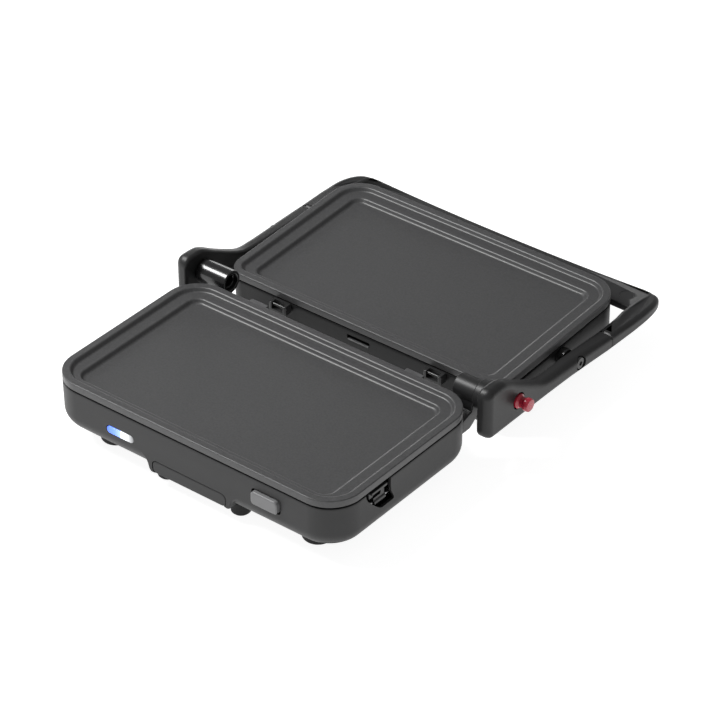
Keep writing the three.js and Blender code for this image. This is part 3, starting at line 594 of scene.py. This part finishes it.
band_in = [(x, 398.3 - 1.4 * (min(abs(x), 138) / 138) ** 2) for x in np.linspace(-158, 158, 60)]
band_out = [(158, 421.5), (155.5, 425.2), (151, 427.6)] + [(x, 424.0 + 3.6 * abs(x / 138) ** 2.2) for x in np.linspace(144, -144, 60)] + [(-151, 427.6), (-155.5, 425.2), (-158, 421.5)]
grip = raw("grip_band", *slab(band_in + band_out, -20.9, -14.1, "z", 2.4, 1.6, 6))
boolean(grip, [cut(f"leg{s}", [side(leg(), s)]) for s in (-1, 1)], "UNION")
boolean(grip, [cut(f"rec{s}", [side(lathe([(0, -14.45), (6.0, -14.45), (6.5, -13.9), (6.5, -8), (0, -8)], "z", (136.5, 411.5, 0), 40), s)]) for s in (-1, 1)])
boolean(grip, [cut(f"gs{s}", [side(lathe([(0, 146), (3.3, 146), (3.3, 154.0), (0, 154.0)], "x", (0, SEAM + 8, -15.25), 32), s)]) for s in (-1, 1)])
finish_piece(grip, "arms", ARM, "handle_grip", angle=38)

# ------------------------------------------------------------- hinge pieces
for tag, s in (("left", -1), ("right", 1)):
    end = 151.6 if s < 0 else 140.8
    prof = fillet([(7.5, 121.5), (7.5, end), (10.5, end), (10.5, 120), (8.3, 120), (7.5, 121.5)], 0.7, 4)
    prof = [(8.3, 120.0), (9.7, 120.0), (10.2, 120.25), (10.5, 120.9), (10.5, end - 0.6), (10.3, end - 0.2), (10.0, end), (7.5, end), (7.5, 121.2), (7.7, 120.5), (8.3, 120.0)]
    web = []
    for p in ([(174, -24), (184, -24)] + [tuple(bez([(184, -24), (196, -18), (204.5, 1.5)], t)) for t in np.linspace(0.1, 1, 10)] + [(187.5, 1.5), (186, -8), (174, -12)]):
        web.append(p)
    barrel = raw(f"hinge_barrel_{tag}", *side(lathe(prof, "x", (0, 196.5, 4.5), 72), s))
    finish_piece(barrel, "base", GLOSS if s < 0 else ARM)
    wb = raw(f"hinge_web_{tag}", *side(slab(web, 122, 140.4, "x", 1.0, 1.0, 4), s))
    boolean(wb, [cut("wk", [side(slab(rrect(PLATE_W + 0.6, PLATE_D + 0.6, 30.3, 0, BC, 18), -60, 20, "z"), 1)]),
                 cut("wk2", [side(lathe([(0, 110), (9.2, 110), (9.2, 160), (0, 160)], "x", (0, 196.5, 4.5), 48), s)])])
    finish_piece(wb, "base", TRIM, f"hinge_bracket_{tag}")
    sl = raw(f"hinge_tube_{tag}", *side(lathe([(5.2, 123.4), (5.6, 123.0), (6.8, 123.0), (7.2, 123.4), (7.2, 161), (5.2, 161), (5.2, 123.4)], "x", (0, 196.5, 4.5), 56), s))
    finish_piece(sl, "arms", GLOSS, f"hinge_sleeve_{tag}")
    pin = raw(f"pivot_pin_{tag}", *side(lathe([(0, 134), (3.0, 134), (3.5, 134.5), (3.5, 162.8), (5.4, 162.8), (5.4, 164.4), (4.9, 165.1), (2.0, 165.3), (1.7, 164.2), (0, 164.2)], "x", (0, PIVOT_Y, -14), 40), s))
    finish_piece(pin, "arms", TRIM, f"lid_pivot_pin_{tag}")
    gs = raw(f"grip_screw_head_{tag}", *side(lathe([(0, 153.2), (1.1, 153.2), (1.2, 152.7), (2.5, 152.6), (3.0, 152.9), (3.0, 153.8), (1.5, 153.8), (1.5, 160.1), (0, 160.1)], "x", (0, SEAM + 8, -15.25), 32), s))
    finish_piece(gs, "arms", STEEL, f"grip_screw_{tag}")
    sp = raw(f"pivot_spacer_{tag}", *side(lathe([(3.8, LW / 2 + 0.4), (7.2, LW / 2 + 0.4), (7.5, LW / 2 + 0.7), (7.5, 151.2), (7.1, 151.6), (3.8, 151.6), (3.8, LW / 2 + 0.4)], "x", (0, pivot_v, pivot_w), 48), s), xf=L)
    finish_piece(sp, "lid", TRIM, f"lid_pivot_spacer_{tag}")
    # rear catches of the lower plate and the matching hooks of the upper one
    c = raw(f"lower_catch_{tag}", *bbox_slab(s * CATCH_X - 9, s * CATCH_X + 9, 181.9, 188.6, -2.6, 4.4, 1.6, "z", 0.6))
    boolean(c, [cut("cc", [bbox_slab(s * CATCH_X - 6.5, s * CATCH_X + 6.5, 183.4, 190, -6, 2.4, 0.6, "z", 0.2)])])
    finish_piece(c, "base", TAB, f"lower_plate_catch_{tag}")
    u = raw(f"upper_catch_{tag}", *bbox_slab(s * CATCH_X - 9, s * CATCH_X + 9, -LD / 2 - 8.6, -LD / 2 - 0.3, -8.5, 0.4, 1.2, "z", 0.6), xf=L)
    boolean(u, [cut("uc", [bbox_slab(s * CATCH_X - 6, s * CATCH_X + 6, -LD / 2 - 10, -LD / 2 - 3, -5.9, 2, 0.6, "z", 0.2)], L)])
    boolean(u, [cut("ur", [lathe([(0, s * CATCH_X - 9.4), (0.9, s * CATCH_X - 9.4), (1.1, s * CATCH_X - 9.1), (1.1, s * CATCH_X + 9.1), (0.9, s * CATCH_X + 9.4), (0, s * CATCH_X + 9.4)], "x", (0, -LD / 2 - 6.4, -1.6), 20)], L)], "UNION")
    finish_piece(u, "lid", TRIM, f"upper_plate_catch_{tag}")

# red release knob
kn = fillet([(0, 158), (4.2, 158), (4.2, 162.4), (6.4, 162.4), (6.4, 166.0), (4.5, 167.4), (4.5, 170.6), (5.7, 171.8), (5.9, 174.0), (5.5, 176.4), (0, 176.8)], 0.8, 4)
kn = raw("release_knob", *lathe(kn, "x", (0, 216.5, -3.5), 56))
finish_piece(kn, "release_knob", RED, "hinge_release_button", angle=50)

# ------------------------------------------------------------- front pieces
def lens(name, x0, x1, left, mat, node):
    pts = rrect(x1 - x0, 6.6, 3.2, (x0 + x1) / 2, -20.4, 8)
    half = [(px, pz) for px, pz in pts]
    if left: half = [(min(px, x1), pz) if px < (x0 + x1) / 2 else (x1, -20.4 + (pz + 20.4) * 1.0) for px, pz in pts]
    else: half = [(max(px, x0), pz) if px > (x0 + x1) / 2 else (x0, pz) for px, pz in pts]
    half = [(px, max(-23.7, min(-17.1, pz))) for px, pz in half]
    k = 3.3
    def sq(px, pz):
        if (left and px >= x1 - 1e-6) or (not left and px <= x0 + 1e-6):
            return (px, -20.4 + math.copysign(min(3.3, abs(pz + 20.4) * 1.0), pz + 20.4))
        return (px, pz)
    half = [sq(*p) for p in half]
    ob = raw(name, *slab(half, -0.15, 6.4, "y", 0.35, 0, 4))
    return finish_piece(ob, "base", mat, node, angle=45)


lens("light_window_blue", -85.9, -72.0, True, LENS_BLUE, "power_light_lens")
lens("light_window_white", -71.6, -57.6, False, LENS_WHITE, "ready_light_lens")

bt = join_parts("plate_release_front", [slab(rrect(26.6, 12.0, 3.2, 80, -16.3, 8), -3.3, 7, "y", 1.3, 0, 6), bbox_slab(64.5, 95.5, 4.6, 7, -21.8, -10.8, 0.8, "y"), bbox_slab(74, 86, 6.8, 9.4, -14.5, -5.6, 0.6, "y")])
finish_piece(bt, "lower_button", BUTTON, "lower_plate_release_button", angle=45)
ub = join_parts("plate_release_rear", [slab(rrect(26.6, 12.0, 3.2, 80, -16.3, 8), LD / 2 - 7, LD / 2 + 1.6, "y", 0, 1.2, 6), bbox_slab(64.5, 95.5, LD / 2 - 7, LD / 2 - 4.6, -21.8, -10.8, 0.8, "y")], L)
finish_piece(ub, "upper_button", BUTTON, "upper_plate_release_button", angle=45)

# drip tray: rounded front with an open pan behind it
tr = raw("drip_tray_pan", *bbox_slab(-37.2, 37.2, 2.0, 124, -40.4, -31, 4, "z", 1.2))
fr = cut("trf", [slab(rrect(76.4, 11.9, 4.6, 0, -36.4, 8), 0.15, 4.2, "y", 1.1, 0.4, 5)])
boolean(tr, [fr], "UNION")
boolean(tr, [cut("trp", [bbox_slab(-35.7, 35.7, 5.6, 122.5, -39, -20, 3.2, "z", 1.0)])])
finish_piece(tr, "tray", HOUSING, "drip_tray", angle=38)

# storage latch and its pin
lt = raw("storage_latch_tongue", *bbox_slab(142.6, 146.2, 45, 65, -17.5, -3, 1.0, "x", 0.8))
boolean(lt, [cut("l1", [bbox_slab(144, 149.4, 45.2, 64.8, -5.6, -3.1, 0.8, "z", 0.5)]), cut("l2", [lathe([(0, -9.9), (3.1, -9.9), (3.1, 9.9), (0, 9.9)], "y", (144.4, 55, -17.2), 32)])], "UNION")
boolean(lt, [cut("l3", [bbox_slab(139, 152, 50, 60, -12.5, -6, 1.2, "x", 0.0)]), cut("l4", [lathe([(0, -12), (1.75, -12), (1.75, 12), (0, 12)], "y", (144.4, 55, -17.2), 24)])])
boolean(lt, [cut("l5", [bbox_slab(137, 153, 43, 50.9, -23, -10.4, 0.2, "z", 0.0)])])
finish_piece(lt, "latch", TRIM, "storage_latch")

# ---------------------------------------------------------------- undersides
for tag, x, y in (("front_left", -106, 32), ("front_right", 106, 32), ("rear_left", -106, 149), ("rear_right", 106, 149)):
    ft = fillet([(0, -56.5), (8.5, -56.5), (9.3, -55.7), (10.2, -56.5), (12.0, -56.5), (13.0, -55.2), (13.6, -42.3), (0, -42.3)], 0.8, 4)
    ft = raw(f"rubber_foot_{tag}", *lathe(ft, "z", (x, y, 0), 56))
    finish_piece(ft, "base", RUBBER, f"foot_{tag}", angle=50)
for tag, x, v_, z0, r in (("near_left", -112, -60, -48.1, 8), ("near_right", 112, -60, -48.1, 8), ("far_left", -112, 60, -53.3, 7), ("far_right", 112, 60, -53.3, 7)):
    pd = fillet([(0, z0), (r - 0.3, z0), (r + 0.3, z0 + 0.8), (9, -44.3), (0, -44.3)], 0.7, 4)
    pd = raw(f"rubber_pad_{tag}", *lathe(pd, "z", (x, v_, 0), 40), xf=L)
    finish_piece(pd, "lid", RUBBER, f"lid_pad_{tag}", angle=50)


def screw_piece(name, at, body, node, xf=W):
    head = fillet([(0, 0.35), (2.3, 0.0), (3.0, 0.6), (3.0, 1.6), (1.5, 1.6), (1.5, 7.5), (0, 7.5)], 0.4, 3)
    ob = raw(name, *lathe(head, "z", at, 28), xf=xf)
    cr = []
    for a in (0, 1):
        hw, hl = 0.38, 1.7
        b = bbox_slab(at[0] - (hl if a else hw), at[0] + (hl if a else hw), at[1] - (hw if a else hl), at[1] + (hw if a else hl), at[2] - 1, at[2] + 1.1, 0.1, "z", 0)
        cr.append(cut(f"{name}c{a}", [b], xf))
    boolean(ob, cr)
    return finish_piece(ob, body, STEEL, node, angle=35)


for tag, s in (("left", -1), ("right", 1)):
    cv = raw(f"bottom_cover_{tag}", *slab(rrect(59.2, 79.2, 7.6, s * 80, BC, 8), -41.9, -37.5, "z", 0.7, 0.3, 4))
    cs = [cut(f"v{i}", [bbox_slab(s * 80 - 14, s * 80 + 14, y - 1.5, y + 1.5, -44, -36, 1.4, "z", 0)]) for i, y in enumerate((BC - 14, BC, BC + 14))]
    cs += [cut(f"h{i}", [lathe([(0, -46), (1.9, -46), (1.9, -30), (0, -30)], "z", (s * 80, y, 0), 20)]) for i, y in enumerate((BC - 33, BC + 33))]
    boolean(cv, cs)
    finish_piece(cv, "base", HOUSING, f"base_bottom_cover_{tag}")
    for i, y in enumerate((BC - 33, BC + 33)):
        screw_piece(f"cover_screw_head_{tag}_{i + 1}", (s * 80, y, -43.8), "base", f"cover_screw_{tag}_{i + 1}")
lc = raw("lid_cover_plate", *slab(rrect(195.2, 99.2, 13.6, 0, 0, 10), -43.9, -39.6, "z", 0.9, 0.3, 5), xf=L)
boolean(lc, [cut(f"lh{i}", [lathe([(0, -48), (1.9, -48), (1.9, -34), (0, -34)], "z", (x, 0, 0), 20)], L) for i, x in enumerate((-88, 88))])
# the lid cover takes the same darker plastic of painted shade
finish_piece(lc, "lid", LID_PLASTIC_PAINTED_SHADE, "lid_cover")
for i, x in enumerate((-88, 88)):
    screw_piece(f"lid_screw_head_{i + 1}", (x, 0, -45.8), "lid", f"lid_cover_screw_{i + 1}", L)

gl = fillet([(2.9, 0.4), (2.9, -5.5), (6.1, -5.5), (6.1, 0.6), (9, 0.6), (9, 3), (7.6, 4.4), (2.9, 4.4), (2.9, 0.4)], 0.5, 3)
gl = raw("cord_gland", *lathe(gl[:-1] + [gl[0]], "y", (-60, PLATE_D, -22), 40))
finish_piece(gl, "base", RUBBER, "cord_inlet_gland", angle=50)

# CAD pieces that keep their shape
KEEP = {"lower_heating_element": STEEL, "upper_heating_element": STEEL, "lower_reflector": PAN, "upper_reflector": PAN, "lower_thermostat": CERAMIC,
        "upper_thermostat": CERAMIC, "thermal_fuse": STEEL, "terminal_block": CERAMIC, "tray_guide": BLACK_AND_POCKET_SHADE, "indicator_board": BOARD, "storage_latch_pin": STEEL}
for n, m in KEEP.items():
    o = N[n]; o.data.materials.clear(); o.data.materials.append(m)
    shade(o, 32) if False else (o.data.shade_smooth(), o.data.set_sharp_from_angle(angle=math.radians(32)))

# ------------------------------------------------------------ floor, light, camera
bpy.ops.mesh.primitive_plane_add(size=6.0, location=(0, 0, 0.0))
floor = bpy.context.object; floor.name = "floor"
fm, nt, b = new_mat("floor_white")
b.inputs["Base Color"].default_value = (0.45, 0.45, 0.45, 1); b.inputs["Roughness"].default_value = 0.95; b.inputs["Specular IOR Level"].default_value = 0.0
b.inputs["Emission Color"].default_value = (1, 1, 1, 1); b.inputs["Emission Strength"].default_value = 0.90
floor.data.materials.append(fm)

wld = bpy.data.worlds.new("studio"); scene.world = wld; wld.use_nodes = True
wld.node_tree.nodes["Background"].inputs["Color"].default_value = (1, 1, 1, 1)
wld.node_tree.nodes["Background"].inputs["Strength"].default_value = 0.27


def area(name, loc, target, size, power, sy=None):
    ld = bpy.data.lights.new(name, "AREA"); ld.energy = power; ld.size = size
    if sy: ld.shape = "RECTANGLE"; ld.size_y = sy
    o = bpy.data.objects.new(name, ld); scene.collection.objects.link(o)
    o.location = loc
    o.rotation_euler = (Vector(target) - Vector(loc)).to_track_quat("-Z", "Y").to_euler()
    return o


area("key", (-1.02, -0.62, 1.6), (0, 0, 0.03), 0.7, 42)
area("fill", (1.6, -0.9, 0.9), (0, 0, 0.03), 1.2, 0.4)
area("horizon", (-1.9, 1.5, 0.42), (0, 0, 0.03), 1.6, 7, 0.5)

AZ, EL = math.radians(38.337), math.radians(34.682)
tgt = Vector(W((32.137, 178.396, 0.0)))
cd = bpy.data.cameras.new("camera"); cam = bpy.data.objects.new("camera", cd); scene.collection.objects.link(cam)
cd.sensor_fit = "HORIZONTAL"; cd.sensor_width = 36.0; cd.lens = 3214.7 / 720 * 36.0
cd.clip_start = 0.1; cd.clip_end = 20
cam.location = tgt + Vector((math.sin(AZ) * math.cos(EL), -math.cos(AZ) * math.cos(EL), math.sin(EL))) * 2.62534
cam.rotation_euler = (tgt - cam.location).to_track_quat("-Z", "Y").to_euler()
scene.camera = cam
scene.view_settings.view_transform = "Standard"

bpy.context.view_layer.update()
